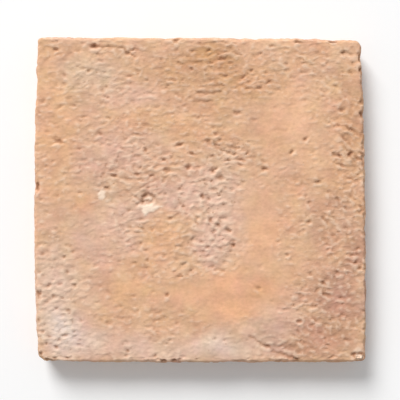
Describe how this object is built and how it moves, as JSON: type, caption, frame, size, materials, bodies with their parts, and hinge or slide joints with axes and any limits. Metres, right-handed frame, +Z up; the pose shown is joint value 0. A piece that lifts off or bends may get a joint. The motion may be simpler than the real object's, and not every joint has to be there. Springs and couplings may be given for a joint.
{
  "type": "terracotta floor tile",
  "caption": "Square handmade terracotta floor tile: bowed undercut sides, worn arris, chipped corners, pitted matte face and a flat bed for laying in mortar or adhesive.",
  "frame": {"origin": "centre of the bed face, the flat underside, at the middle of the tile's box", "axes": "+Z up through the walking face; seen from above as in the picture, +X is right and +Y is up the picture"},
  "size_m": [0.2018, 0.1978, 0.02],
  "materials": {
    "terracotta": "matte"
  },
  "bodies": {
    "root": {"tile": "terracotta"}
  },
  "joints": []
}
